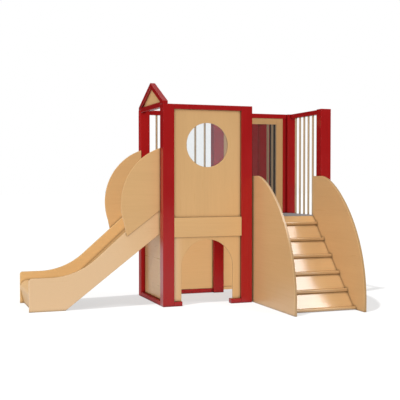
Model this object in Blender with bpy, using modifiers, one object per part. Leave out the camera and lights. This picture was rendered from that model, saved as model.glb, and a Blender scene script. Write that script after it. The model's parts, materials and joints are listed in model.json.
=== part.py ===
"""Play castle: a two-bay indoor climbing house with a slide, a stair and a look-out tower.

Lengths are in metres. The castle is laid out from the front left foot of the tower,
X to the right along the front, Y to the rear and Z up. An empty then carries every
piece, so that the finished object stands on the middle of its footprint.
"""
import math

import bmesh
import bpy

# Whole castle
POST_H = 2.06
POST_W = 0.12
POST_D = 0.105
REAR_CORNER_W = 0.10
TOWER_W = 0.98
BAY_CLEAR = 0.81
DEPTH = 0.915
STAIR_REACH = 0.965
SLIDE_REACH = 1.325
FIT = 0.0003
SOFT_EDGE = 0.003

# Rails, sills and boards
RAIL_H = 0.05
RAIL_T = 0.045
SILL_H = 0.048
SILL_T = 0.07
PANEL_T = 0.018
LEFT_PANEL_INSET = 0.043
LEFT_STUB = 0.087
RIGHT_STUB = 0.117
BOARD_FLOOR_GAP = 0.028
BATTEN_H = 0.032
BATTEN_T = 0.04

# Platform
PLATFORM_TOP = 0.90
COVER_T = 0.003
DECK_T = 0.018
FRAME_H = 0.088
FRAME_T = 0.04

# Tower front
FRONT_PANEL_INSET = 0.033
BAND_H = 0.199
BAND_TOP = 0.905
PANEL_JOINT_Z = 0.80
WINDOW_R = 0.227
WINDOW_Z = 1.65
PANE_T = 0.004
PANE_LAP = 0.018
ARCH_R = 0.2835
ARCH_SPRING_Z = 0.391

# Roof gable over the slide side
GABLE_T = 0.055
GABLE_INSET = 0.01
GABLE_EAVES = 0.03
GABLE_RISE = 0.255
GABLE_DROP = 0.03
GABLE_BASE_W = 0.053
RAFTER_W = 0.048
INFILL_X = 0.026
INFILL_T = 0.012

# Bars
BAR_R = 0.0115
BARS = 6
REAR_BAR_MARGIN = 0.09375
RIGHT_BAR_MARGIN = 0.09

# Safety mirror
MIRROR_FRAME_W = 0.082
MIRROR_TOP_W = 0.07
MIRROR_STILE_W = 0.048
MIRROR_T = 0.003
MIRROR_RECESS = 0.004
MIRROR_SETBACK = 0.065

# Stair
STEPS = 6
RISE = 0.1605
RUN = 0.163
FIRST_NOSE_Y = -0.005
LAST_TREAD_Z = 0.035
TREAD_T = 0.03
TREAD_SHOW = 0.065
RISER_SETBACK = 0.008
RISER_T = 0.022
TOP_RISER_FOOT_Y = 0.029
CHEEK_T = 0.027
CHEEK_GAP = 0.015
CHEEK_TOP = 1.332
CHEEK_FLAT_Y = -0.07
CHEEK_TOE_Z = 0.108
CHEEK_TOP_PULL = 0.245
CHEEK_TOE_PULL = 0.777

# Slide
SLIDE_SIDE_INSET = 0.1155
SLIDE_WALL_T = 0.028
SLIDE_WALL_H = 0.33
SLIDE_WALL_ANGLE = math.radians(41)
SLIDE_WALL_KNEE_X = -0.858
SLIDE_WALL_KNEE_R = 0.7
SLIDE_HEEL_X = -0.97
SLIDE_UNDER_Z = 0.738
SLIDE_TIP_R = 0.028
BED_T = 0.015
BED_EXIT_Z = 0.243
BED_KNEE_X = -0.768
BED_KNEE_R = 0.33
BED_CREST_X = -0.038
BED_CREST_R = 0.05
BED_NOSE_R = 0.075
BED_APRON_TOP = 0.16
BED_APRON_R = 0.05
BED_APRON_LEAN = 0.039
BED_FRONT_GAP = 0.002
HEAD_T = 0.018
HEAD_Z = 0.76
DISC_T = 0.018
DISC_X = 0.185
DISC_Z = 1.05
DISC_R = 0.595
DISC_TIP = (-0.349, 0.720)
DISC_FOOT_Z = 0.98
DISC_TURN = math.radians(199)

# Places that follow from the sizes above
CLEAR_W = TOWER_W - POST_W
BAY_END = TOWER_W + BAY_CLEAR
RIGHT_END = BAY_END + POST_W
REAR_INNER = DEPTH - POST_D
REAR_LINE = DEPTH - POST_D / 2
RIGHT_LINE = BAY_END + POST_W / 2
MIDDLE_LINE = TOWER_W - POST_W / 2
RAIL_Z = POST_H - RAIL_H
GABLE_FOOT_Z = POST_H + GABLE_EAVES
GABLE_APEX_Z = POST_H + GABLE_RISE
GABLE_RAIL_Z = POST_H - GABLE_DROP
GABLE_BASE_Z = GABLE_RAIL_Z + GABLE_BASE_W
DECK_TOP = PLATFORM_TOP - COVER_T - FIT
FRAME_TOP = DECK_TOP - DECK_T - FIT
FRAME_BOTTOM = FRAME_TOP - FRAME_H
DECK_RIGHT = RIGHT_LINE + RAIL_T / 2
MID_DEPTH = DEPTH / 2
TREAD_D = POST_D - FIRST_NOSE_Y
REAR_TAB = REAR_LINE + RAIL_T / 2
COVER_REAR = REAR_LINE - RAIL_T / 2
REAR_BAR_PITCH = (CLEAR_W - REAR_CORNER_W - 2 * REAR_BAR_MARGIN) / (BARS - 1)
RIGHT_BAR_PITCH = (REAR_INNER - POST_D - 2 * RIGHT_BAR_MARGIN) / (BARS - 1)
MIRROR_FRONT_Y = DEPTH - MIRROR_SETBACK

# Colour, roughness and metallic value of each finish
FINISHES = {
    "beech": ((0.62, 0.37, 0.16), 0.42, 0.0),
    "beech_light": ((0.72, 0.47, 0.25), 0.42, 0.0),
    "red": ((0.40, 0.012, 0.014), 0.38, 0.0),
    "grey": ((0.30, 0.30, 0.31), 0.85, 0.0),
    "clear": ((0.80, 0.86, 0.90), 0.08, 0.0),
    "mirror": ((0.85, 0.87, 0.88), 0.03, 1.0),
}


def clear_scene():
    for old in list(bpy.data.objects):
        bpy.data.objects.remove(old, do_unlink=True)


clear_scene()
castle = bpy.data.collections.new("play_castle")
bpy.context.scene.collection.children.link(castle)
base = bpy.data.objects.new("castle_base", None)
base.location = ((SLIDE_REACH - RIGHT_END) / 2, (STAIR_REACH - DEPTH) / 2, 0)
castle.objects.link(base)


def finish(piece, look):
    """Gives a piece its material and hangs it on the empty, in the castle's collection."""
    colour, roughness, metallic = FINISHES[look]
    material = bpy.data.materials.new(piece.name)
    material.use_nodes = True
    shader = material.node_tree.nodes["Principled BSDF"]
    shader.inputs["Base Color"].default_value = (*colour, 1)
    shader.inputs["Roughness"].default_value = roughness
    shader.inputs["Metallic"].default_value = metallic
    piece.data.materials.clear()
    piece.data.materials.append(material)
    for home in list(piece.users_collection):
        home.objects.unlink(piece)
    castle.objects.link(piece)
    piece.parent = base
    return piece


def board(name, look, xs, ys, zs, soft=SOFT_EDGE):
    """A straight board between two X, two Y and two Z values, with softened edges."""
    middle = [(low + high) / 2 for low, high in (xs, ys, zs)]
    bpy.ops.mesh.primitive_cube_add(size=1, location=middle)
    piece = bpy.context.object
    piece.name = name
    piece.scale = [high - low for low, high in (xs, ys, zs)]
    bpy.ops.object.transform_apply(location=False, rotation=False, scale=True)
    bevel = piece.modifiers.new("soft edge", "BEVEL")
    bevel.width = soft
    bevel.segments = 2
    return finish(piece, look)


def rod(name, look, x, y, zs, radius):
    """An upright round bar."""
    low, high = zs
    middle = (x, y, (low + high) / 2)
    bpy.ops.mesh.primitive_cylinder_add(vertices=16, radius=radius, depth=high - low, location=middle)
    piece = bpy.context.object
    piece.name = name
    piece.data.shade_smooth()
    piece.data.set_sharp_from_angle(angle=math.radians(40))
    return finish(piece, look)


# How the flat of an outline lies: its two directions and its thickness, as a turn
LAY = {
    "XY": (0, 0, 0),
    "XZ": (math.pi / 2, 0, 0),
    "YZ": (math.pi / 2, 0, math.pi / 2),
}


def cut_out(name, look, lay, outline, span, holes=(), soft=SOFT_EDGE):
    """A board cut to an outline, with holes, between two values of the third direction."""
    low, high = span
    curve = bpy.data.curves.new(name, "CURVE")
    curve.dimensions = "2D"
    curve.fill_mode = "BOTH"
    for loop, turn in [(outline, 1)] + [(hole, -1) for hole in holes]:
        points = list(loop) if area(loop) * turn > 0 else list(reversed(loop))
        spline = curve.splines.new("POLY")
        spline.points.add(len(points) - 1)
        for point, (u, v) in zip(spline.points, points):
            point.co = (u, v, 0, 1)
        spline.use_cyclic_u = True
    curve.extrude = (high - low) / 2 - soft
    curve.bevel_depth = soft
    curve.bevel_resolution = 1
    curve.offset = -soft
    shape = bpy.data.objects.new(name + "_outline", curve)
    castle.objects.link(shape)
    bpy.context.view_layer.update()
    solid = bpy.data.meshes.new_from_object(shape.evaluated_get(bpy.context.evaluated_depsgraph_get()))
    bpy.data.objects.remove(shape, do_unlink=True)
    weld = bmesh.new()
    weld.from_mesh(solid)
    bmesh.ops.remove_doubles(weld, verts=weld.verts, dist=0.00001)
    bmesh.ops.recalc_face_normals(weld, faces=weld.faces)
    weld.to_mesh(solid)
    weld.free()
    piece = bpy.data.objects.new(name, solid)
    middle = (low + high) / 2
    piece.location = {"XY": (0, 0, middle), "XZ": (0, middle, 0), "YZ": (middle, 0, 0)}[lay]
    piece.rotation_euler = LAY[lay]
    return finish(piece, look)


def area(loop):
    """Signed area of a closed loop: positive when it runs anticlockwise."""
    following = list(loop[1:]) + [loop[0]]
    return sum(a[0] * b[1] - b[0] * a[1] for a, b in zip(loop, following)) / 2


def rectangle(us, vs):
    return [(us[0], vs[0]), (us[1], vs[0]), (us[1], vs[1]), (us[0], vs[1])]


def arc(u, v, radius, start, end, count):
    """Points along a circular arc, ends included."""
    angles = [start + (end - start) * i / count for i in range(count + 1)]
    return [(u + radius * math.cos(a), v + radius * math.sin(a)) for a in angles]


def circle(u, v, radius, count=48):
    return arc(u, v, radius, 0, 2 * math.pi, count)[:-1]


def rounded(corners, count=10):
    """A line through corners (u, v, radius), each corner turned into an arc of its radius."""
    line = []
    last = len(corners) - 1
    for i, (u, v, radius) in enumerate(corners):
        if radius == 0 or i in (0, last):
            line.append((u, v))
            continue
        into = unit(corners[i - 1], corners[i])
        out = unit(corners[i], corners[i + 1])
        turn = math.atan2(into[0] * out[1] - into[1] * out[0], into[0] * out[0] + into[1] * out[1])
        reach = radius * math.tan(abs(turn) / 2)
        side = math.copysign(1, turn)
        centre_u = u - into[0] * reach - side * into[1] * radius
        centre_v = v - into[1] * reach + side * into[0] * radius
        start = math.atan2(-side * into[0], side * into[1])
        line += arc(centre_u, centre_v, radius, start, start + turn, count)
    return line


def unit(a, b):
    """Direction from one corner to the next."""
    length = math.hypot(b[0] - a[0], b[1] - a[1])
    return (b[0] - a[0]) / length, (b[1] - a[1]) / length


def shifted(corners, distance):
    """The same line moved to its right by a distance, radii following."""
    moved = []
    last = len(corners) - 1
    for i, (u, v, radius) in enumerate(corners):
        into = unit(corners[max(i - 1, 0)], corners[max(i, 1)])
        out = unit(corners[min(i, last - 1)], corners[min(i + 1, last)])
        turn = math.atan2(into[0] * out[1] - into[1] * out[0], into[0] * out[0] + into[1] * out[1])
        bend = distance / math.cos(turn / 2)
        half = math.atan2(into[1], into[0]) + turn / 2
        grown = radius + distance * math.copysign(1, turn) if radius else 0
        moved.append((u + bend * math.sin(half), v - bend * math.cos(half), grown))
    return moved


def bezier(a, b, c, d, count=24):
    """Points along a cubic curve from a to d, pulled towards b and c."""
    line = []
    for i in range(count + 1):
        t = i / count
        s = 1 - t
        weights = (s ** 3, 3 * s * s * t, 3 * s * t * t, t ** 3)
        line.append(tuple(sum(w * p[k] for w, p in zip(weights, (a, b, c, d))) for k in (0, 1)))
    return line


def posts():
    """Six posts of one height carry everything else."""
    front = (0, POST_D)
    rear = (REAR_INNER, DEPTH)
    middle = (CLEAR_W, TOWER_W)
    places = {
        "front_left": ((0, POST_W), front),
        "front_middle": (middle, front),
        "front_right": ((BAY_END, RIGHT_END), front),
        "rear_left": ((0, REAR_CORNER_W), rear),
        "rear_middle": (middle, rear),
        "rear_right": ((BAY_END, BAY_END + REAR_CORNER_W), rear),
    }
    for place, (xs, ys) in places.items():
        board(f"post_{place}", "red", xs, ys, (0, POST_H))


def between(low, high):
    """The room left between two faces, with a fitting gap at both."""
    return low + FIT, high - FIT


def about(line, thickness):
    return line - thickness / 2, line + thickness / 2


def top_rails():
    """Rails at the tops of the posts, let in between them."""
    level = (RAIL_Z, POST_H)
    across = between(POST_D, REAR_INNER)
    rear = about(REAR_LINE, RAIL_T)
    board("rail_front", "red", between(POST_W, CLEAR_W), (0, RAIL_T), level)
    board("rail_rear_tower", "red", between(REAR_CORNER_W, CLEAR_W), rear, level)
    board("rail_rear_bay", "red", between(TOWER_W, BAY_END), rear, level)
    board("rail_right", "red", about(RIGHT_LINE, RAIL_T), across, level)
    board("rail_middle", "red", about(MIDDLE_LINE, RAIL_T), across, level)


def gable():
    """Triangular gable on the slide side: its base is also the left top rail."""
    front, rear = GABLE_INSET, DEPTH - GABLE_INSET
    seat = POST_H + FIT
    inner_front, inner_rear = between(POST_D, REAR_INNER)
    rail = [(inner_front, seat), (inner_front, GABLE_RAIL_Z), (inner_rear, GABLE_RAIL_Z), (inner_rear, seat)]
    rafters = [(rear, GABLE_FOOT_Z), (MID_DEPTH, GABLE_APEX_Z), (front, GABLE_FOOT_Z)]
    outline = [(front, seat)] + rail + [(rear, seat)] + rafters
    slope = (GABLE_APEX_Z - GABLE_FOOT_Z) / (MID_DEPTH - front)
    inner_apex = GABLE_APEX_Z - RAFTER_W * math.hypot(1, slope)
    reach = (inner_apex - GABLE_BASE_Z) / slope
    hole = [(MID_DEPTH - reach, GABLE_BASE_Z), (MID_DEPTH + reach, GABLE_BASE_Z), (MID_DEPTH, inner_apex)]
    cut_out("gable_frame", "red", "YZ", outline, (0, GABLE_T), [hole])
    side_gap = FIT * (1 + math.hypot(1, slope)) / slope
    infill = [
        (MID_DEPTH - reach + side_gap, GABLE_BASE_Z + FIT),
        (MID_DEPTH + reach - side_gap, GABLE_BASE_Z + FIT),
        (MID_DEPTH, inner_apex - FIT * math.hypot(1, slope)),
    ]
    cut_out("gable_infill", "beech", "YZ", infill, (INFILL_X, INFILL_X + INFILL_T), soft=0.001)


def sills():
    """Red sills on the floor, with only two stubs at the front so that the arch is open."""
    level = (0, SILL_H)
    front = (0, SILL_T)
    board("sill_front_left", "red", (POST_W + FIT, POST_W + LEFT_STUB), front, level)
    board("sill_front_right", "red", (CLEAR_W - RIGHT_STUB, CLEAR_W - FIT), front, level)
    board("sill_left", "red", (0, SILL_T), between(POST_D, REAR_INNER), level)
    board("sill_rear", "red", between(REAR_CORNER_W, CLEAR_W), (DEPTH - SILL_T, DEPTH), level)


def tower_front():
    """Front of the tower: arched doorway, covering band and the panel with the round window."""
    xs = between(POST_W, CLEAR_W)
    middle = (POST_W + CLEAR_W) / 2
    top = RAIL_Z - FIT
    ys = (FRONT_PANEL_INSET, FRONT_PANEL_INSET + PANEL_T)
    window = circle(middle, WINDOW_Z, WINDOW_R)
    cut_out("panel_window", "beech", "XZ", rectangle(xs, (PANEL_JOINT_Z + FIT, top)), ys, [window])
    glass = (ys[1] + FIT, ys[1] + FIT + PANE_T)
    cut_out("window_pane", "clear", "XZ", circle(middle, WINDOW_Z, WINDOW_R + PANE_LAP), glass, soft=0.001)
    foot = SILL_H + FIT
    arch = arc(middle, ARCH_SPRING_Z, ARCH_R, 0, math.pi, 28)
    doorway = [(middle + ARCH_R, foot)] + arch + [(middle - ARCH_R, foot)]
    outline = doorway + [(xs[0], foot), (xs[0], PANEL_JOINT_Z), (xs[1], PANEL_JOINT_Z), (xs[1], foot)]
    cut_out("panel_arch", "beech", "XZ", outline, ys)
    board("band_front", "beech", xs, (0, FRONT_PANEL_INSET - FIT), (BAND_TOP - BAND_H, BAND_TOP))


def lower_panels():
    """Boards that close the left side, the rear and the right side below the platform."""
    rear = about(REAR_LINE, PANEL_T)
    across = between(POST_D, REAR_INNER)
    under_deck = FRAME_TOP
    under_frame = FRAME_BOTTOM - FIT
    left = (LEFT_PANEL_INSET, LEFT_PANEL_INSET + PANEL_T)
    board("panel_left", "beech", left, across, (SILL_H + FIT, under_frame))
    board("panel_rear_tower", "beech", between(REAR_CORNER_W, CLEAR_W), rear, (SILL_H + FIT, under_deck))
    batten_top = BOARD_FLOOR_GAP + BATTEN_H
    bay = between(TOWER_W, BAY_END)
    board("batten_rear_bay", "beech", bay, about(REAR_LINE, BATTEN_T), (BOARD_FLOOR_GAP, batten_top))
    board("panel_rear_bay", "beech", bay, rear, (batten_top + FIT, under_deck))
    board("panel_right_bay", "beech", about(RIGHT_LINE, PANEL_T), across, (BOARD_FLOOR_GAP, under_frame))


def platform():
    """One bolted frame, two deck boards and one sheet of floor covering, notched round the posts."""
    across = between(POST_D, REAR_INNER)
    level = (FRAME_BOTTOM, FRAME_TOP)
    inner_y = (across[0] + FRAME_T, across[1] - FRAME_T)
    under_tower = rectangle((FRAME_T, TOWER_W - FRAME_T / 2), inner_y)
    under_bay = rectangle((TOWER_W + FRAME_T / 2, DECK_RIGHT - FRAME_T), inner_y)
    outline = rectangle((0, DECK_RIGHT), across)
    cut_out("platform_frame", "beech", "XY", outline, level, [under_tower, under_bay])
    front = FRONT_PANEL_INSET + PANEL_T + FIT
    left_post, middle_post = between(POST_W, CLEAR_W)
    rear_left, rear_middle = between(REAR_CORNER_W, CLEAR_W)
    tower_end = TOWER_W - FIT
    tower = [
        (left_post, front), (middle_post, front), (middle_post, across[0]), (tower_end, across[0]),
        (tower_end, across[1]), (rear_middle, across[1]), (rear_middle, REAR_TAB), (rear_left, REAR_TAB),
        (rear_left, across[1]), (0, across[1]), (0, across[0]), (left_post, across[0]),
    ]
    cut_out("deck_tower", "beech", "XY", tower, (DECK_TOP - DECK_T, DECK_TOP), soft=0.001)
    bay_start, bay_end = between(TOWER_W, BAY_END)
    bay = [
        (bay_start, across[0]), (DECK_RIGHT, across[0]), (DECK_RIGHT, across[1]),
        (bay_end, across[1]), (bay_end, REAR_TAB), (bay_start, REAR_TAB),
    ]
    cut_out("deck_bay", "beech", "XY", bay, (DECK_TOP - DECK_T, DECK_TOP), soft=0.001)
    cover_right = RIGHT_LINE - RAIL_T / 2
    cover = [
        (left_post, front), (middle_post, front), (middle_post, across[0]), (cover_right, across[0]),
        (cover_right, across[1]), (bay_end, across[1]), (bay_end, COVER_REAR), (bay_start, COVER_REAR),
        (bay_start, across[1]), (rear_middle, across[1]), (rear_middle, COVER_REAR), (rear_left, COVER_REAR),
        (rear_left, across[1]), (0, across[1]), (0, across[0]), (left_post, across[0]),
    ]
    cut_out("floor_covering", "grey", "XY", cover, (PLATFORM_TOP - COVER_T, PLATFORM_TOP), soft=0.0005)


def bars():
    """Round bars that fence the rear of the tower and the right side of the bay."""
    level = between(DECK_TOP, RAIL_Z)
    rear_middle = (REAR_CORNER_W + CLEAR_W) / 2
    for i in range(BARS):
        step = i - (BARS - 1) / 2
        rear_x = rear_middle + step * REAR_BAR_PITCH
        right_y = MID_DEPTH + step * RIGHT_BAR_PITCH
        rod(f"bar_rear_{i + 1}", "beech_light", rear_x, REAR_LINE, level, BAR_R)
        rod(f"bar_right_{i + 1}", "beech_light", RIGHT_LINE, right_y, level, BAR_R)


def mirror():
    """Safety mirror in a beech frame at the rear of the bay, with a red stile beside the post."""
    level = between(DECK_TOP, RAIL_Z)
    start, end = between(TOWER_W, BAY_END)
    frame_end = end - MIRROR_STILE_W
    ys = (MIRROR_FRONT_Y, MIRROR_FRONT_Y + PANEL_T)
    us = (start + MIRROR_FRAME_W, frame_end - MIRROR_FRAME_W)
    vs = (level[0] + MIRROR_FRAME_W, level[1] - MIRROR_TOP_W)
    outer = rectangle((start, frame_end), level)
    cut_out("mirror_frame", "beech", "XZ", outer, ys, [rectangle(us, vs)])
    sheet = rectangle(between(*us), between(*vs))
    face = MIRROR_FRONT_Y + MIRROR_RECESS
    cut_out("mirror_sheet", "mirror", "XZ", sheet, (face, face + MIRROR_T), soft=0.0005)
    board("mirror_stile", "red", (frame_end + FIT, end), ys, level)


def tread_place(number):
    """Nose position and top height of a tread, counted from the top."""
    return FIRST_NOSE_Y - RUN * (number - 1), LAST_TREAD_Z + RISE * (STEPS - number)


def stair():
    """Two cheeks with six treads between them; all but the lowest tread carry a sloping riser."""
    left = (TOWER_W + CHEEK_GAP, TOWER_W + CHEEK_GAP + CHEEK_T)
    right = (BAY_END - CHEEK_GAP - CHEEK_T, BAY_END - CHEEK_GAP)
    sweep = bezier(
        (CHEEK_FLAT_Y, CHEEK_TOP), (CHEEK_FLAT_Y - CHEEK_TOP_PULL, CHEEK_TOP),
        (-STAIR_REACH, CHEEK_TOE_Z + CHEEK_TOE_PULL), (-STAIR_REACH, CHEEK_TOE_Z),
    )
    cheek = [(POST_D, CHEEK_TOP)] + sweep + [(-STAIR_REACH, 0), (POST_D, 0)]
    cut_out("stair_cheek_left", "beech", "YZ", cheek, left, soft=0.004)
    cut_out("stair_cheek_right", "beech", "YZ", cheek, right, soft=0.004)
    width = between(left[1], right[0])
    for number in range(1, STEPS + 1):
        nose, top = tread_place(number)
        under = top - TREAD_T
        tread = [(nose, under), (nose, top), (nose + TREAD_D, top), (nose + TREAD_D, under)]
        if number < STEPS:
            foot = nose - RUN + TREAD_SHOW
            floor = top - RISE + FIT
            riser = nose + RISER_SETBACK
            tread += [(riser + RISER_T, under), (foot + RISER_T, floor), (foot, floor), (riser, under)]
        cut_out(f"step_{number}", "beech", "YZ", tread, width, soft=0.002)
    nose, top = tread_place(1)
    floor = top + FIT
    head = POST_D - RISER_SETBACK
    wedge = [(TOP_RISER_FOOT_Y, floor), (POST_D, floor), (POST_D, DECK_TOP), (head, DECK_TOP)]
    cut_out("riser_top", "beech", "YZ", wedge, width, soft=0.001)


def slide():
    """Slide with a bent bed between two walls and a round guard on the outside of each wall."""
    near = SLIDE_SIDE_INSET
    far = DEPTH - SLIDE_SIDE_INSET
    slope = math.tan(SLIDE_WALL_ANGLE)
    head = SLIDE_WALL_H - SLIDE_WALL_KNEE_X * slope
    wall = rounded([
        (-SLIDE_REACH, 0, 0), (SLIDE_HEEL_X, 0, 0), (-FIT, SLIDE_UNDER_Z, 0), (-FIT, head, 0),
        (SLIDE_WALL_KNEE_X, SLIDE_WALL_H, SLIDE_WALL_KNEE_R), (-SLIDE_REACH, SLIDE_WALL_H, SLIDE_TIP_R),
        (-SLIDE_REACH, SLIDE_WALL_H / 2, 0),
    ])
    cut_out("slide_wall_near", "beech_light", "XZ", wall, (near, near + SLIDE_WALL_T), soft=0.004)
    cut_out("slide_wall_far", "beech_light", "XZ", wall, (far - SLIDE_WALL_T, far), soft=0.004)

    width = between(near + SLIDE_WALL_T, far - SLIDE_WALL_T)
    front = BED_FRONT_GAP - SLIDE_REACH
    surface = [
        (-FIT, PLATFORM_TOP, 0), (BED_CREST_X, PLATFORM_TOP, BED_CREST_R),
        (BED_KNEE_X, BED_EXIT_Z, BED_KNEE_R), (front, BED_EXIT_Z, BED_NOSE_R),
        (front, BED_APRON_TOP, BED_APRON_R), (front + BED_APRON_LEAN, 0, 0),
    ]
    under = shifted(surface, -BED_T)
    strip = rounded(surface) + list(reversed(rounded(under)))
    cut_out("slide_bed", "beech_light", "XZ", strip, width, soft=0.001)
    head_top = PLATFORM_TOP - BED_T - FIT
    board("slide_head", "beech", (-FIT - HEAD_T, -FIT), width, (HEAD_Z, head_top), 0.002)

    top_angle = math.pi - math.acos((DISC_X + FIT) / DISC_R)
    curve = arc(DISC_X, DISC_Z, DISC_R, top_angle, DISC_TURN, 30)
    guard = curve + [DISC_TIP, (-FIT, DISC_FOOT_Z)]
    cut_out("slide_guard_near", "beech", "XZ", guard, (near - FIT - DISC_T, near - FIT), soft=0.004)
    cut_out("slide_guard_far", "beech", "XZ", guard, (far + FIT, far + FIT + DISC_T), soft=0.004)


posts()
top_rails()
gable()
sills()
tower_front()
lower_panels()
platform()
bars()
mirror()
stair()
slide()
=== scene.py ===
"""Looks of the play castle: smooth curved pieces, timber and lacquer materials, studio and camera.

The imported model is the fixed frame. Lengths are in metres. New pieces are drawn in the castle's
own coordinates, from the front left foot of the tower, and their sizes come from the frame.
"""
import json
import math

import bmesh
import bpy
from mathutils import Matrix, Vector

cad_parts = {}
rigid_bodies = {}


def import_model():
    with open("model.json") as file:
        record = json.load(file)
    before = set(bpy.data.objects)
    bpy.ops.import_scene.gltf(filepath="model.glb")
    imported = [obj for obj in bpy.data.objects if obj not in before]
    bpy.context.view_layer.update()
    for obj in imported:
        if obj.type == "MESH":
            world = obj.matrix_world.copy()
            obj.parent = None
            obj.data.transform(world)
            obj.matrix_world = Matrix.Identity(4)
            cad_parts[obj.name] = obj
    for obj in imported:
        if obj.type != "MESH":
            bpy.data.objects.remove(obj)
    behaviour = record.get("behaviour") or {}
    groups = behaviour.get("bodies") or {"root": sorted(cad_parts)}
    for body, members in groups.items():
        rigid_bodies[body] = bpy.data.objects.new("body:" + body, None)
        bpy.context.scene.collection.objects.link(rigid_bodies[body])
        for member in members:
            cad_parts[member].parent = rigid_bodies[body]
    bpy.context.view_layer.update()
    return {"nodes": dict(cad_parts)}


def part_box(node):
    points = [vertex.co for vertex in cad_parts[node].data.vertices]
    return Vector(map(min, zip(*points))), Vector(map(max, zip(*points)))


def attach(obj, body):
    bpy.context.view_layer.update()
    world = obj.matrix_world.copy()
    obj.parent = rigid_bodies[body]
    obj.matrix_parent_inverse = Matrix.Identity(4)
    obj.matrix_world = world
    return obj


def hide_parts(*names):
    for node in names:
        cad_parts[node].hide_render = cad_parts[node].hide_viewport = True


for old in list(bpy.data.objects):
    bpy.data.objects.remove(old, do_unlink=True)

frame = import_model()
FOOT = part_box("post_front_left")[0]

# Timber and lacquer, as linear colours
BEECH = (0.640, 0.393, 0.176)
BEECH_PALE = (0.700, 0.455, 0.230)
BEECH_SIDE = (0.545, 0.334, 0.153)
# Darker beech tone: painted shade for the mirror frame at the back of the bay
BEECH_PAINTED_SHADE = (0.560, 0.335, 0.146)
BEECH_BAR = (0.410, 0.300, 0.180)
# Darker bed tone: painted shade from the slide walls
BEECH_BED_PAINTED_SHADE = (0.430, 0.266, 0.120)
BEECH_FAR = (0.700, 0.440, 0.192)
# Paler tone for painted light on the boards
PAINTED_LIGHT_PALE = (0.765, 0.520, 0.298)
BEECH_DARK_SHARE = (0.80, 0.72, 0.62)
RED = (0.378, 0.0095, 0.0100)
RED_WORN = (0.520, 0.055, 0.045)
GREY = (0.300, 0.302, 0.310)
MIRROR_BACKING = (0.105, 0.107, 0.112)
PLY_LAYER = 0.0015
# Reach of the painted shade in joints and corners
PAINTED_SHADE_REACH = 0.035

# Shapes that the frame's boxes don't give
EDGE = 0.0035
ARC_STEPS = 40
CHEEK_FLAT_Y = -0.07
CHEEK_TOE_Z = 0.108
CHEEK_TOP_PULL = 0.245
CHEEK_TOE_PULL = 0.777
STEPS = 6
TREAD_T = 0.03
TREAD_SHOW = 0.065
NOSE_R = 0.011
RISER_SETBACK = 0.008
RISER_T = 0.022
SLIDE_HEEL_X = -0.97
SLIDE_UNDER_Z = 0.738
SLIDE_TIP_R = 0.028
SLIDE_WALL_H = 0.33
SLIDE_LAP_X = 0.02
SLIDE_WALL_ANGLE = math.radians(41)
SLIDE_WALL_KNEE_X = -0.858
SLIDE_WALL_KNEE_R = 0.7
BED_T = 0.015
BED_EXIT_Z = 0.243
BED_KNEE_X = -0.768
BED_KNEE_R = 0.33
BED_CREST_X = -0.038
BED_CREST_R = 0.05
BED_NOSE_R = 0.075
BED_APRON_TOP = 0.16
BED_APRON_R = 0.05
BED_APRON_LEAN = 0.039
DISC_X = 0.185
DISC_Z = 1.05
DISC_R = 0.595
DISC_TIP = (-0.349, 0.720)
DISC_FOOT_Z = 0.98
DISC_TURN = math.radians(199)
WINDOW_R = 0.227
WINDOW_Z = 1.65
ARCH_R = 0.2835
ARCH_SPRING_Z = 0.391
MIRROR_FRAME_W = 0.082
MIRROR_TOP_W = 0.07
MIRROR_BOW_X = 1.535
MIRROR_BOW_R = 6.1
MIRROR_WAVE = 0.0001
MEMBER_GAP = 0.0004

# Camera, in the castle's coordinates
CAMERA_AT = (-2.4384, -7.8108, 1.2913)
CAMERA_DOWN = math.radians(1.430)
CAMERA_RIGHT = math.radians(19.946)
LENS = 72.92

# Studio: directions point from the castle to the light, levels are the brightness of a white face
FLOOR_REACH = 60.0
FLOOR_TONE = 0.28
FLOOR_GLOW = 0.640
FLAG_AWAY = 16.0
FLAG_HEIGHT = 19.5
AMBIENT = 0.35
STAIR_MIDDLE = (1.38, -0.35, 0.45)
KEY_TOWARD = (-0.49, -0.07, 1.0)
FLOOR_KEY_TOWARD = (-0.50, -0.24, 1.0)
FLOOR_KEY_LEVEL = 1.10
LEFT_LEVEL = 0.40
SIDE_TOWARD = (-0.95, -0.10, 0.30)
SIDE_LEVEL = 0.20
FRONT_TOWARD = (-0.723, -0.691, 0.08)
FRONT_LEVEL = 0.14
INNER_TOWARD = (-0.32, -0.94, 0.12)
INNER_LEVEL = 0.48
SECOND_TOWARD = (0.35, -0.40, 1.0)
SECOND_LEVEL = 0.24
REAR_TOWARD = (0.60, 0.80, 0.40)
REAR_LEVEL = 0.55
DOORWAY_LEVEL = 0.385
BEHIND_DOORWAY = ("panel_rear_tower", "panel_rear_bay", "post_rear_middle", "sill_rear", "batten_rear_bay")
SOFTBOX_TOWARD = (0.467, -0.31, 0.83)
SOFTBOX_WIDTH = 2.3
SOFTBOX_LEVEL = 6.5


def span(node, axis):
    """Lowest and highest value of a node along X, Y or Z, in the castle's coordinates."""
    low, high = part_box(node)
    i = "XYZ".index(axis)
    return low[i] - FOOT[i], high[i] - FOOT[i]


def area(loop):
    """Signed area of a closed loop: positive when it runs anticlockwise."""
    following = list(loop[1:]) + [loop[0]]
    return sum(a[0] * b[1] - b[0] * a[1] for a, b in zip(loop, following)) / 2


def rectangle(us, vs):
    return [(us[0], vs[0]), (us[1], vs[0]), (us[1], vs[1]), (us[0], vs[1])]


def arc(u, v, radius, start, end, count):
    """Points along a circular arc, ends included."""
    angles = [start + (end - start) * i / count for i in range(count + 1)]
    return [(u + radius * math.cos(a), v + radius * math.sin(a)) for a in angles]


def circle(u, v, radius, count=144):
    return arc(u, v, radius, 0, 2 * math.pi, count)[:-1]


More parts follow.
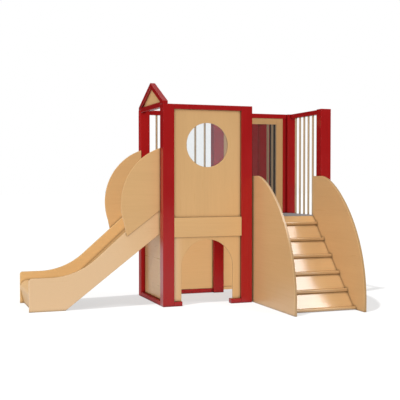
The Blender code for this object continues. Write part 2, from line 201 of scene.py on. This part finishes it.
def unit(a, b):
    """Direction from one corner to the next."""
    length = math.hypot(b[0] - a[0], b[1] - a[1])
    return (b[0] - a[0]) / length, (b[1] - a[1]) / length


def bend_between(into, out):
    return math.atan2(into[0] * out[1] - into[1] * out[0], into[0] * out[0] + into[1] * out[1])


def rounded(corners, count=ARC_STEPS):
    """A line through corners (u, v, radius), each corner turned into an arc of its radius."""
    line = []
    last = len(corners) - 1
    for i, (u, v, radius) in enumerate(corners):
        if radius == 0 or i in (0, last):
            line.append((u, v))
            continue
        into = unit(corners[i - 1], corners[i])
        out = unit(corners[i], corners[i + 1])
        turn = bend_between(into, out)
        reach = radius * math.tan(abs(turn) / 2)
        side = math.copysign(1, turn)
        centre_u = u - into[0] * reach - side * into[1] * radius
        centre_v = v - into[1] * reach + side * into[0] * radius
        start = math.atan2(-side * into[0], side * into[1])
        line += arc(centre_u, centre_v, radius, start, start + turn, count)
    return line


def shifted(corners, distance):
    """The same line moved to its right by a distance, radii following."""
    moved = []
    last = len(corners) - 1
    for i, (u, v, radius) in enumerate(corners):
        into = unit(corners[max(i - 1, 0)], corners[max(i, 1)])
        out = unit(corners[min(i, last - 1)], corners[min(i + 1, last)])
        turn = bend_between(into, out)
        bend = distance / math.cos(turn / 2)
        half = math.atan2(into[1], into[0]) + turn / 2
        grown = radius + distance * math.copysign(1, turn) if radius else 0
        moved.append((u + bend * math.sin(half), v - bend * math.cos(half), grown))
    return moved


def bezier(a, b, c, d, count=72):
    """Points along a cubic curve from a to d, pulled towards b and c."""
    line = []
    for i in range(count + 1):
        t = i / count
        s = 1 - t
        weights = (s ** 3, 3 * s * s * t, 3 * s * t * t, t ** 3)
        line.append(tuple(sum(w * p[k] for w, p in zip(weights, (a, b, c, d))) for k in (0, 1)))
    return line


class Paint:
    """A material whose nodes are made and joined in short calls."""

    def __init__(self, name):
        self.material = bpy.data.materials.new(name)
        self.material.use_nodes = True
        self.tree = self.material.node_tree
        self.shader = self.tree.nodes["Principled BSDF"]

    def put(self, socket, value):
        if isinstance(value, bpy.types.NodeSocket):
            self.tree.links.new(value, socket)
        else:
            socket.default_value = value

    def add(self, kind, inputs, **settings):
        node = self.tree.nodes.new("ShaderNode" + kind)
        for key, value in settings.items():
            setattr(node, key, value)
        for socket, value in inputs.items():
            self.put(node.inputs[socket], value)
        return node

    def sum(self, operation, *values, clamp=False):
        node = self.add("Math", dict(enumerate(values)), operation=operation, use_clamp=clamp)
        return node.outputs[0]

    def vector(self, operation, *values):
        return self.add("VectorMath", dict(enumerate(values)), operation=operation).outputs[0]

    def noise(self, place, scale, detail=3.0, roughness=0.55, stretch=(1, 1, 1)):
        """Noise over a stretched place, from 0 to 1."""
        spread = self.vector("MULTIPLY", place, stretch)
        inputs = {"Vector": spread, "Scale": scale, "Detail": detail, "Roughness": roughness}
        return self.add("TexNoise", inputs).outputs[0]

    def between(self, value, low, high, to_low=0.0, to_high=1.0):
        """A value's range turned into another one, held at both ends and eased."""
        inputs = {0: value, 1: low, 2: high, 3: to_low, 4: to_high}
        return self.add("MapRange", inputs, interpolation_type="SMOOTHSTEP").outputs[0]

    def mix(self, share, first, second):
        node = self.tree.nodes.new("ShaderNodeMix")
        node.data_type = "RGBA"
        self.put(node.inputs[0], share)
        for i, colour in ((6, first), (7, second)):
            self.put(node.inputs[i], colour if isinstance(colour, bpy.types.NodeSocket) else (*colour, 1))
        return node.outputs[2]

    def bump(self, height, strength, distance):
        inputs = {"Height": height, "Strength": strength, "Distance": distance}
        return self.add("Bump", inputs).outputs[0]

    def finish(self, **inputs):
        for name, value in inputs.items():
            self.put(self.shader.inputs[name.replace("_", " ").title().replace("Ior", "IOR")], value)
        return self.material


def scaled(colour, share):
    shares = share if isinstance(share, tuple) else (share,) * 3
    return tuple(c * s for c, s in zip(colour, shares))


def own_place(paint):
    """Object coordinates, moved by a different amount for each piece."""
    chance = paint.add("ObjectInfo", {}).outputs["Random"]
    away = paint.add("CombineXYZ", {0: chance, 1: chance, 2: chance}).outputs[0]
    moved = paint.vector("MULTIPLY", away, (37.0, 53.0, 71.0))
    return paint.vector("ADD", paint.add("TexCoord", {}).outputs["Object"], moved), chance


def edge_wear(paint, radius):
    """1 on a rounded or sharp edge and 0 on the flat."""
    soft = paint.add("Bevel", {"Radius": radius}, samples=4).outputs[0]
    true = paint.add("NewGeometry", {}).outputs["Normal"]
    turned = paint.add("VectorMath", {0: soft, 1: true}, operation="DOT_PRODUCT").outputs["Value"]
    return paint.between(turned, 0.999, 0.93)


def painted_corner_shade(paint, reach):
    """1 in the open and less in joints and corners, for painting shade into the colour there."""
    return paint.add("AmbientOcclusion", {"Distance": reach}, samples=8).outputs["AO"]


def painted_light_share(paint, at, start, full):
    """0 where the painted light starts and 1 where it is full, whichever way it runs."""
    if start > full:
        return paint.between(at, full, start, 1.0, 0.0)
    return paint.between(at, start, full)


def beech(name, grain, thickness, tone=BEECH, ply=True, gloss=0.30, shine=0.35,
          painted_light=None, painted_light_tone=PAINTED_LIGHT_PALE):
    """Lacquered beech: streaks and flecks along the grain, veneer layers on the cut edges, painted shade in joints
    and corners.

    Where a board is painted paler as painted light, painted_light holds the axis and the places
    in the castle's coordinates where that starts and where it is full.
    """
    paint = Paint(name)
    place, chance = own_place(paint)
    along = "XYZ".index(grain)
    through = "XYZ".index(thickness)

    def stretched(share):
        return tuple(share if i == along else 1.0 for i in range(3))

    broad = paint.noise(place, 5.0, 2.0, 0.5, stretched(0.16))
    streak = paint.noise(place, 60.0, 5.0, 0.62, stretched(0.035))
    fleck = paint.noise(place, 900.0, 1.0, 0.4, stretched(0.055))
    dark = scaled(tone, BEECH_DARK_SHARE)
    pale = scaled(tone, 1.10)
    colour = paint.mix(paint.between(broad, 0.30, 0.70, 0.05, 0.45), pale, tone)
    colour = paint.mix(paint.between(streak, 0.35, 0.80, 0.0, 0.16), colour, dark)
    colour = paint.mix(paint.between(chance, 0.0, 1.0, 0.0, 0.10), colour, scaled(tone, 0.82))
    # Painted light: the colour turns paler along one axis where more light falls.
    if painted_light:
        axis = "XYZ".index(painted_light[0])
        at = paint.add("SeparateXYZ", {0: paint.add("TexCoord", {}).outputs["Object"]}).outputs[axis]
        share = painted_light_share(paint, at, painted_light[1], painted_light[2])
        colour = paint.mix(share, colour, painted_light_tone)
    flecks = paint.between(fleck, 0.64, 0.74, 0.0, 0.12)
    colour = paint.mix(flecks, colour, scaled(dark, 0.55))
    height = paint.sum("SUBTRACT", streak, flecks)
    if ply:
        own = paint.add("TexCoord", {})
        depth = paint.add("SeparateXYZ", {0: own.outputs["Object"]}).outputs[through]
        layer = paint.sum("FLOOR", paint.sum("DIVIDE", depth, PLY_LAYER))
        tint = paint.add("TexWhiteNoise", {"W": layer}, noise_dimensions="1D").outputs["Value"]
        facing = paint.add("SeparateXYZ", {0: own.outputs["Normal"]}).outputs[through]
        edge = paint.between(paint.sum("ABSOLUTE", facing), 0.55, 0.35)
        layers = paint.mix(tint, scaled(tone, 0.62), scaled(tone, 1.02))
        colour = paint.mix(paint.sum("MULTIPLY", edge, 0.8), colour, layers)
        height = paint.sum("ADD", height, paint.sum("MULTIPLY", paint.sum("MULTIPLY", edge, tint), 0.8))
    worn = paint.sum("MULTIPLY", edge_wear(paint, 0.003), paint.between(broad, 0.35, 0.75))
    colour = paint.mix(paint.sum("MULTIPLY", worn, 0.25), colour, scaled(tone, 1.2))
    # Painted shade: the colour darkens in joints and corners.
    shade = paint.between(painted_corner_shade(paint, PAINTED_SHADE_REACH), 0.35, 0.95, 0.70, 0.0)
    colour = paint.mix(shade, colour, scaled(dark, 0.30))
    rough = paint.between(streak, 0.2, 0.8, gloss - 0.04, gloss + 0.05)
    return paint.finish(
        base_color=colour, roughness=rough, normal=paint.bump(height, 0.12, 0.0004),
        specular_ior_level=shine,
    )


def lacquer(name, gloss, shine):
    """Red lacquer over timber: a slight grain below it, orange peel, worn edges and painted shade in joints and
    corners.
    """
    paint = Paint(name)
    place, chance = own_place(paint)
    streak = paint.noise(place, 34.0, 4.0, 0.6, (1, 1, 0.06))
    cloud = paint.noise(place, 3.0, 2.0, 0.5)
    peel = paint.noise(place, 420.0, 1.0, 0.4)
    colour = paint.mix(paint.between(streak, 0.30, 0.75, 0.0, 0.35), RED, scaled(RED, 0.76))
    colour = paint.mix(paint.between(cloud, 0.35, 0.70, 0.0, 0.16), colour, scaled(RED, 1.18))
    colour = paint.mix(paint.between(chance, 0.0, 1.0, 0.0, 0.12), colour, scaled(RED, 0.80))
    worn = paint.sum("MULTIPLY", edge_wear(paint, 0.004), paint.between(streak, 0.35, 0.70))
    colour = paint.mix(paint.sum("MULTIPLY", worn, 0.25), colour, RED_WORN)
    # Painted shade: the colour darkens in joints and corners.
    shade = paint.between(painted_corner_shade(paint, PAINTED_SHADE_REACH), 0.35, 0.95, 0.80, 0.0)
    colour = paint.mix(shade, colour, scaled(RED, 0.22))
    height = paint.sum("ADD", streak, paint.sum("MULTIPLY", peel, 0.35))
    rough = paint.between(cloud, 0.3, 0.7, gloss - 0.03, gloss + 0.04)
    return paint.finish(
        base_color=colour, roughness=rough, normal=paint.bump(height, 0.10, 0.0005),
        specular_ior_level=shine,
    )


def covering():
    """Grey rubbery floor covering with a fine grip texture."""
    paint = Paint("grey_floor_covering")
    place = own_place(paint)[0]
    grip = paint.add("TexVoronoi", {"Vector": place, "Scale": 260.0}).outputs["Distance"]
    speck = paint.noise(place, 700.0, 2.0)
    scuff = paint.noise(place, 9.0, 4.0, 0.7)
    colour = paint.mix(paint.between(speck, 0.45, 0.60, 0.0, 0.5), GREY, scaled(GREY, 0.7))
    colour = paint.mix(paint.between(scuff, 0.50, 0.75, 0.0, 0.35), colour, scaled(GREY, 1.35))
    rough = paint.between(scuff, 0.3, 0.7, 0.72, 0.90)
    return paint.finish(base_color=colour, roughness=rough, normal=paint.bump(grip, 0.35, 0.0006))


def mirror_glass():
    """Acrylic safety mirror: slightly hollow, with fine rub marks in front and grey paint behind."""
    paint = Paint("safety_mirror")
    place = own_place(paint)[0]
    wave = paint.sum("MULTIPLY", paint.noise(place, 2.2, 1.0, 0.4), MIRROR_WAVE)
    across = paint.add("SeparateXYZ", {0: paint.add("TexCoord", {}).outputs["Object"]}).outputs[0]
    aside = paint.sum("SUBTRACT", across, FOOT.x + MIRROR_BOW_X)
    bow = paint.sum("DIVIDE", paint.sum("MULTIPLY", aside, aside), 2 * MIRROR_BOW_R)
    rub = paint.noise(place, 120.0, 5.0, 0.7, (1, 1, 0.2))
    rough = paint.between(rub, 0.55, 0.80, 0.015, 0.07)
    colour = paint.mix(paint.between(rub, 0.4, 0.8, 0.0, 0.3), (0.64, 0.65, 0.66), (0.58, 0.60, 0.61))
    rearward = paint.add("SeparateXYZ", {0: paint.add("TexCoord", {}).outputs["Normal"]}).outputs[1]
    painted = paint.between(rearward, 0.4, 0.6)
    colour = paint.mix(painted, colour, MIRROR_BACKING)
    rough = paint.sum("MAXIMUM", rough, paint.sum("MULTIPLY", painted, 0.6))
    metal = paint.between(rearward, 0.4, 0.6, 0.96, 0.0)
    return paint.finish(
        base_color=colour, roughness=rough, metallic=metal,
        normal=paint.bump(paint.sum("ADD", wave, bow), 1.0, 1.0),
    )


def acrylic():
    """Clear acrylic with a slight bluish haze and fine rub marks."""
    paint = Paint("clear_acrylic")
    place = own_place(paint)[0]
    haze = paint.noise(place, 3.0, 3.0, 0.6)
    rub = paint.noise(place, 90.0, 6.0, 0.75, (1, 1, 0.3))
    colour = paint.mix(paint.between(haze, 0.3, 0.7), (0.30, 0.43, 0.48), (0.34, 0.47, 0.52))
    rough = paint.between(rub, 0.45, 0.80, 0.03, 0.12)
    alpha = paint.between(rub, 0.40, 0.85, 0.12, 0.16)
    return paint.finish(base_color=colour, roughness=rough, alpha=alpha)


def smooth(piece, angle=50):
    """Smooth shading with flat faces kept flat and corners kept sharp."""
    piece.data.shade_smooth()
    piece.data.set_sharp_from_angle(angle=math.radians(angle))
    weighted = piece.modifiers.new("flat faces", "WEIGHTED_NORMAL")
    weighted.keep_sharp = True
    weighted.weight = 100


def settle(piece, node, slot, *materials):
    """Gives a piece its materials and makes it stand for a node of the frame."""
    piece.data.materials.clear()
    for material in materials:
        piece.data.materials.append(material)
    bpy.context.scene.collection.objects.link(piece)
    piece.location = piece.location + FOOT
    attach(piece, "root")
    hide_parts(node)
    return piece


LAY = {
    "XY": (0, 0, 0),
    "XZ": (math.pi / 2, 0, 0),
    "YZ": (math.pi / 2, 0, math.pi / 2),
}


def cut_mesh(name, lay, outline, layer, holes=(), soft=EDGE):
    """A board cut to an outline, with holes and rounded edges, as a mesh in castle coordinates."""
    low, high = layer
    curve = bpy.data.curves.new(name, "CURVE")
    curve.dimensions = "2D"
    curve.fill_mode = "BOTH"
    for loop, turn in [(outline, 1)] + [(hole, -1) for hole in holes]:
        points = list(loop) if area(loop) * turn > 0 else list(reversed(loop))
        spline = curve.splines.new("POLY")
        spline.points.add(len(points) - 1)
        for point, (u, v) in zip(spline.points, points):
            point.co = (u, v, 0, 1)
        spline.use_cyclic_u = True
    curve.extrude = (high - low) / 2 - soft
    curve.bevel_depth = soft
    curve.bevel_resolution = 3
    curve.offset = -soft
    shape = bpy.data.objects.new(name + "_outline", curve)
    bpy.context.scene.collection.objects.link(shape)
    middle = (low + high) / 2
    shape.location = {"XY": (0, 0, middle), "XZ": (0, middle, 0), "YZ": (middle, 0, 0)}[lay]
    shape.rotation_euler = LAY[lay]
    bpy.context.view_layer.update()
    mesh = bpy.data.meshes.new_from_object(shape.evaluated_get(bpy.context.evaluated_depsgraph_get()))
    mesh.transform(shape.matrix_world)
    bpy.data.objects.remove(shape, do_unlink=True)
    weld = bmesh.new()
    weld.from_mesh(mesh)
    bmesh.ops.remove_doubles(weld, verts=weld.verts, dist=0.00001)
    bmesh.ops.recalc_face_normals(weld, faces=weld.faces)
    weld.to_mesh(mesh)
    weld.free()
    return mesh


def cut_piece(node, slot, material, lay, outline, layer, holes=(), soft=EDGE):
    piece = bpy.data.objects.new(node + "_shaped", cut_mesh(node, lay, outline, layer, holes, soft))
    settle(piece, node, slot, material)
    smooth(piece)
    return piece


def tower_front():
    """The window panel and the doorway panel with round cuts, and the clear pane."""
    timber = beech("beech_front_panel", "Z", "Y")
    xs = span("panel_window", "X")
    middle = sum(xs) / 2
    window = circle(middle, WINDOW_Z, WINDOW_R)
    outline = rectangle(xs, span("panel_window", "Z"))
    ys = span("panel_window", "Y")
    cut_piece("panel_window", "beech_board", timber, "XZ", outline, ys, [window])
    foot, top = span("panel_arch", "Z")
    # Painted light: the doorway panel turns paler towards its left leg.
    painted_light = beech("beech_doorway", "Z", "Y", painted_light=("X", 0.24, 0.10))
    arch = arc(middle, ARCH_SPRING_Z, ARCH_R, 0, math.pi, 96)
    doorway = [(middle + ARCH_R, foot)] + arch + [(middle - ARCH_R, foot)]
    outline = doorway + [(xs[0], foot), (xs[0], top), (xs[1], top), (xs[1], foot)]
    cut_piece("panel_arch", "beech_board", painted_light, "XZ", outline, span("panel_arch", "Y"))
    pane = span("window_pane", "X")
    disc = circle(middle, WINDOW_Z, (pane[1] - pane[0]) / 2)
    cut_piece("window_pane", "window_pane", acrylic(), "XZ", disc, span("window_pane", "Y"), soft=0.0008)


def lathe(profile, sides=40):
    """A mesh turned round the Z axis from (radius, z) points."""
    shell = bmesh.new()
    rings = []
    for radius, z in profile:
        turns = [2 * math.pi * i / sides for i in range(sides)]
        rings.append([shell.verts.new((radius * math.cos(a), radius * math.sin(a), z)) for a in turns])
    for below, above in zip(rings, rings[1:]):
        for i in range(sides):
            j = (i + 1) % sides
            shell.faces.new((below[i], below[j], above[j], above[i]))
    shell.faces.new(list(reversed(rings[0])))
    shell.faces.new(rings[-1])
    mesh = bpy.data.meshes.new("turned")
    shell.to_mesh(mesh)
    shell.free()
    return mesh


def bars():
    """Turned bars with rounded ends."""
    timber = beech("beech_bar", "Z", "X", BEECH_BAR, ply=False)
    names = [name for name in frame["nodes"] if name.startswith("bar_")]
    for name in sorted(names):
        xs, ys, (low, high) = span(name, "X"), span(name, "Y"), span(name, "Z")
        radius = (xs[1] - xs[0]) / 2
        ends = [math.radians(a) for a in (0, 30, 60, 90)]
        ease = 0.002
        foot = [(radius - ease + ease * math.sin(a), low + ease - ease * math.cos(a)) for a in ends]
        head = [(r, low + high - z) for r, z in reversed(foot)]
        piece = bpy.data.objects.new(name + "_turned", lathe(foot + head))
        piece.location = (sum(xs) / 2, sum(ys) / 2, 0)
        settle(piece, name, "beech_bar", timber)
        smooth(piece)


def stair():
    """Cheeks with a swept front edge and treads with rounded noses."""
    polished = beech("beech_cheek_left", "Y", "X", BEECH_SIDE, gloss=0.36, shine=1.0)
    plain = beech("beech_cheek_right", "Y", "X", BEECH_SIDE, shine=0.10)
    for node, side in (("stair_cheek_left", polished), ("stair_cheek_right", plain)):
        front, back = span(node, "Y")
        floor, top = span(node, "Z")
        sweep = bezier(
            (CHEEK_FLAT_Y, top), (CHEEK_FLAT_Y - CHEEK_TOP_PULL, top),
            (front, CHEEK_TOE_Z + CHEEK_TOE_PULL), (front, CHEEK_TOE_Z),
        )
        outline = [(back, top)] + sweep + [(front, floor), (back, floor)]
        cut_piece(node, "beech_board", side, "YZ", outline, span(node, "X"), soft=0.004)
    plank = beech("beech_tread", "X", "Z", BEECH_SIDE, gloss=0.18, shine=1.0)
    tread_low, tread_high = span("step_6", "Y")
    tread_depth = tread_high - tread_low
    for number in range(1, STEPS + 1):
        node = f"step_{number}"
        back = span(node, "Y")[1]
        floor, top = span(node, "Z")
        nose, under = back - tread_depth, top - TREAD_T
        riser = nose + RISER_SETBACK
        line = rounded([(back, top, 0), (nose, top, NOSE_R), (nose, under, NOSE_R), (riser + NOSE_R, under, 0)], 10)
        if number < STEPS:
            foot = span(f"step_{number + 1}", "Y")[1] - tread_depth + TREAD_SHOW
            line += [(foot, floor), (foot + RISER_T, floor), (riser + RISER_T, under)]
        outline = line + [(back, under)]
        cut_piece(node, "beech_step", plank, "YZ", outline, span(node, "X"), soft=0.0015)


def slide():
    """Bed, walls and round guards with smooth curves."""
    far_side = beech("beech_slide_far", "X", "Y", BEECH_FAR)
    slope = math.tan(SLIDE_WALL_ANGLE)
    head = SLIDE_WALL_H - SLIDE_WALL_KNEE_X * slope
    deck = span("floor_covering", "Z")[1] + MEMBER_GAP
    # Painted light and painted reflection of the floor: the near wall turns paler towards its low front end.
    near_side = beech("beech_slide_near", "X", "Y", BEECH_PALE, painted_light=("X", 0.10, -0.60))
    for node, timber in (("slide_wall_near", near_side), ("slide_wall_far", far_side)):
        front, back = span(node, "X")
        wall = rounded([
            (front, 0, 0), (SLIDE_HEEL_X, 0, 0), (back, SLIDE_UNDER_Z, 0), (back, deck, 0),
            (SLIDE_LAP_X, deck, 0), (SLIDE_LAP_X, head + (SLIDE_LAP_X - back) * slope, 0),
            (SLIDE_WALL_KNEE_X, SLIDE_WALL_H, SLIDE_WALL_KNEE_R), (front, SLIDE_WALL_H, SLIDE_TIP_R),
            (front, SLIDE_WALL_H / 2, 0),
        ])
        cut_piece(node, "beech_slide", timber, "XZ", wall, span(node, "Y"), soft=0.005)
    front, back = span("slide_bed", "X")
    top = span("slide_bed", "Z")[1]
    surface = [
        (back, top, 0), (BED_CREST_X, top, BED_CREST_R), (BED_KNEE_X, BED_EXIT_Z, BED_KNEE_R),
        (front, BED_EXIT_Z, BED_NOSE_R), (front, BED_APRON_TOP, BED_APRON_R), (front + BED_APRON_LEAN, 0, 0),
    ]
    strip = rounded(surface) + list(reversed(rounded(shifted(surface, -BED_T))))
    # Painted shade on the bed between the walls, and painted light making its nose paler.
    bed = beech("beech_slide_bed", "X", "Y", BEECH_BED_PAINTED_SHADE, ply=False, gloss=0.40, shine=0.03,
                painted_light=("X", -0.95, -1.20), painted_light_tone=BEECH_PALE)
    cut_piece("slide_bed", "beech_slide", bed, "XZ", strip, span("slide_bed", "Y"), soft=0.0012)
    top_angle = math.pi - math.acos((DISC_X - back) / DISC_R)
    curve = arc(DISC_X, DISC_Z, DISC_R, top_angle, DISC_TURN, 110)
    guard = curve + [DISC_TIP, (back, DISC_FOOT_Z)]
    round_side = beech("beech_guard", "X", "Y")
    for node in ("slide_guard_near", "slide_guard_far"):
        cut_piece(node, "beech_board", round_side, "XZ", guard, span(node, "Y"), soft=0.005)


def mirror():
    """Mirror frame of two stiles with two rails let in between them."""
    xs, ys, zs = (span("mirror_frame", axis) for axis in "XYZ")
    inner_x = (xs[0] + MIRROR_FRAME_W, xs[1] - MIRROR_FRAME_W)
    inner_z = (zs[0] + MIRROR_FRAME_W, zs[1] - MIRROR_TOP_W)
    # Painted shade: the mirror frame takes a darker copy of the beech tone.
    upright = beech("beech_mirror_stile", "Z", "Y", BEECH_PAINTED_SHADE, ply=False)
    level = beech("beech_mirror_rail", "X", "Y", BEECH_PAINTED_SHADE, ply=False)
    rail_x = (inner_x[0] + MEMBER_GAP, inner_x[1] - MEMBER_GAP)
    members = [
        ((xs[0], inner_x[0]), zs, 0), ((inner_x[1], xs[1]), zs, 0),
        (rail_x, (zs[0], inner_z[0]), 1), (rail_x, (inner_z[1], zs[1]), 1),
    ]
    whole = bmesh.new()
    for us, vs, look in members:
        before = len(whole.faces)
        whole.from_mesh(cut_mesh("member", "XZ", rectangle(us, vs), ys, soft=0.002))
        whole.faces.ensure_lookup_table()
        for face in whole.faces[before:]:
            face.material_index = look
    mesh = bpy.data.meshes.new("mirror_frame_members")
    whole.to_mesh(mesh)
    whole.free()
    piece = bpy.data.objects.new("mirror_frame_members", mesh)
    settle(piece, "mirror_frame", "beech_board", upright, level)
    for polygon in piece.data.polygons:
        polygon.use_smooth = True
    smooth(piece)


def coat_frame():
    """Better materials on the CAD nodes whose shape is right."""
    red = lacquer("red_lacquer", 0.20, 0.37)
    scuffed = lacquer("red_lacquer_scuffed", 0.45, 0.12)
    looks = {
        "band_front": beech("beech_band", "X", "Y"),
        "gable_infill": beech("beech_gable", "Y", "X"),
        "panel_left": beech("beech_side_panel", "Y", "X"),
        "panel_right_bay": beech("beech_right_panel", "Y", "X"),
        "panel_rear_bay": beech("beech_rear_panel", "X", "Y"),
        "batten_rear_bay": beech("beech_batten", "X", "Y", ply=False),
        "platform_frame": beech("beech_platform", "Y", "Z", ply=False),
        "deck_bay": beech("beech_deck", "X", "Z"),
        "slide_head": beech("beech_slide_head", "Y", "X"),
        "riser_top": beech("beech_riser", "X", "Y"),
        "sill_left": scuffed,
        "post_rear_left": scuffed,
        "mirror_sheet": mirror_glass(),
        "floor_covering": covering(),
    }
    looks["panel_rear_tower"] = looks["panel_rear_bay"]
    looks["deck_tower"] = looks["deck_bay"]
    red_nodes = []
    for name, node in frame["nodes"].items():
        if node.hide_render:
            continue
        material = looks.get(name, red)
        if material == red:
            red_nodes.append(node)
        for place in node.material_slots:
            place.material = material
    return red_nodes


def sheet_mesh(name, corners):
    """One flat face, for the floor and for the flags."""
    mesh = bpy.data.meshes.new(name)
    mesh.from_pydata(corners, [], [tuple(range(len(corners)))])
    piece = bpy.data.objects.new(name, mesh)
    bpy.context.scene.collection.objects.link(piece)
    return piece


def studio_floor():
    """A white floor that keeps the shadows."""
    reach = FLOOR_REACH
    corners = [(-reach, -reach, 0), (reach, -reach, 0), (reach, reach, 0), (-reach, reach, 0)]
    floor = sheet_mesh("floor", corners)
    paint = Paint("studio_floor")
    glow = paint.sum("MULTIPLY", seen_directly(paint), FLOOR_GLOW)
    paint.finish(
        base_color=(FLOOR_TONE,) * 3 + (1,), roughness=1.0, specular_ior_level=0.0,
        emission_color=(1, 1, 1, 1), emission_strength=glow,
    )
    floor.data.materials.append(paint.material)
    return floor


def flags():
    """Black flags round the studio, seen only in reflections, which keep the lacquer's colour deep."""
    paint = Paint("black_flag")
    flag_look = paint.finish(base_color=(0.01, 0.01, 0.01, 1), roughness=1.0, specular_ior_level=0.0)
    out, high = FLAG_AWAY, FLAG_HEIGHT
    round_about = [(-out, -out), (out, -out), (out, out), (-out, out)]
    for i, (start, end) in enumerate(zip(round_about, round_about[1:] + round_about[:1])):
        corners = [(*start, 0.05), (*end, 0.05), (*end, high), (*start, high)]
        flag = sheet_mesh(f"black_flag_{i + 1}", corners)
        flag.data.materials.append(flag_look)
        flag.visible_camera = False
        flag.visible_diffuse = False
        flag.visible_transmission = False
        flag.visible_shadow = False


def world():
    """White background, and a soft light from all round that is weaker than it looks."""
    background_world = bpy.data.worlds.new("studio")
    bpy.context.scene.world = background_world
    background_world.use_nodes = True
    paint = Paint.__new__(Paint)
    paint.tree = background_world.node_tree
    background = paint.tree.nodes["Background"]
    background.inputs["Color"].default_value = (1, 1, 1, 1)
    strength = paint.sum("MULTIPLY", seen_directly(paint), 1 - AMBIENT)
    paint.put(background.inputs["Strength"], paint.sum("ADD", strength, AMBIENT))


def seen_directly(paint):
    """1 for camera, mirror and see-through rays, 0 for the light that falls on the object."""
    path = paint.add("LightPath", {}).outputs
    direct = paint.sum("MAXIMUM", path["Is Camera Ray"], path["Is Glossy Ray"])
    return paint.sum("MAXIMUM", direct, path["Is Transmission Ray"])


def lamp(name, kind, toward, distance, glossy=True):
    """A light in a direction from the stair, turned to it."""
    light = bpy.data.lights.new(name, kind)
    direction = Vector(toward).normalized()
    holder = bpy.data.objects.new(name, light)
    holder.location = FOOT + Vector(STAIR_MIDDLE) + direction * distance
    holder.rotation_euler = direction.to_track_quat("Z", "Y").to_euler()
    holder.visible_glossy = glossy
    bpy.context.scene.collection.objects.link(holder)
    return holder


def sun(name, toward, level, spread, glossy=True):
    """A distant light. A white face that looks straight at it gets the level's brightness."""
    holder = lamp(name, "SUN", toward, 10, glossy)
    holder.data.energy = math.pi * level
    holder.data.angle = spread
    return holder


def softbox(name, toward, distance, width, brightness):
    holder = lamp(name, "AREA", toward, distance)
    holder.data.shape = "SQUARE"
    holder.data.size = width
    holder.data.energy = brightness * math.pi * width ** 2
    return holder


def link(holder, state, *pieces):
    """Makes a light fall on the pieces only (INCLUDE) or on all but the pieces (EXCLUDE)."""
    group = bpy.data.collections.new(holder.name + "_receivers")
    for piece in pieces:
        group.objects.link(piece)
    for member in group.collection_objects:
        member.light_linking.link_state = state
    holder.light_linking.receiver_collection = group
    return holder


def studio(red_nodes):
    """White floor and background, plain soft light, and the two lights that shade the floor."""
    bpy.context.scene.view_settings.view_transform = "Standard"
    floor = studio_floor()
    flags()
    world()
    wide = math.radians(28)
    link(sun("front_light", FRONT_TOWARD, FRONT_LEVEL, math.radians(3), glossy=False), "EXCLUDE", floor)
    link(sun("rear_light", REAR_TOWARD, REAR_LEVEL, wide, glossy=False), "EXCLUDE", floor)
    link(sun("left_light", KEY_TOWARD, LEFT_LEVEL, math.radians(12), glossy=False), "EXCLUDE", floor)
    inner = link(sun("inner_light", INNER_TOWARD, INNER_LEVEL, wide, glossy=False), "EXCLUDE", floor)
    inner.data.use_shadow = False
    side = sun("side_light", SIDE_TOWARD, SIDE_LEVEL, wide, glossy=False)
    link(side, "EXCLUDE", floor, *red_nodes).data.use_shadow = False
    link(sun("floor_key", FLOOR_KEY_TOWARD, FLOOR_KEY_LEVEL, math.radians(2.5)), "INCLUDE", floor)
    link(sun("floor_second", SECOND_TOWARD, SECOND_LEVEL, math.radians(9)), "INCLUDE", floor)
    behind = [frame["nodes"][name] for name in BEHIND_DOORWAY]
    doorway = sun("doorway_light", INNER_TOWARD, DOORWAY_LEVEL, wide, glossy=False)
    link(doorway, "INCLUDE", *behind).data.use_shadow = False
    glossy = [piece for piece in bpy.data.objects if piece.name.startswith(("step_", "stair_cheek_left"))]
    link(softbox("softbox", SOFTBOX_TOWARD, 6.0, SOFTBOX_WIDTH, SOFTBOX_LEVEL), "INCLUDE", *glossy)


def camera():
    view = bpy.data.cameras.new("camera")
    view.lens = LENS
    eye = bpy.data.objects.new("camera", view)
    eye.location = FOOT + Vector(CAMERA_AT)
    eye.rotation_euler = (math.pi / 2 - CAMERA_DOWN, 0, -CAMERA_RIGHT)
    bpy.context.scene.collection.objects.link(eye)
    bpy.context.scene.camera = eye


tower_front()
bars()
stair()
slide()
mirror()
studio(coat_frame())
camera()
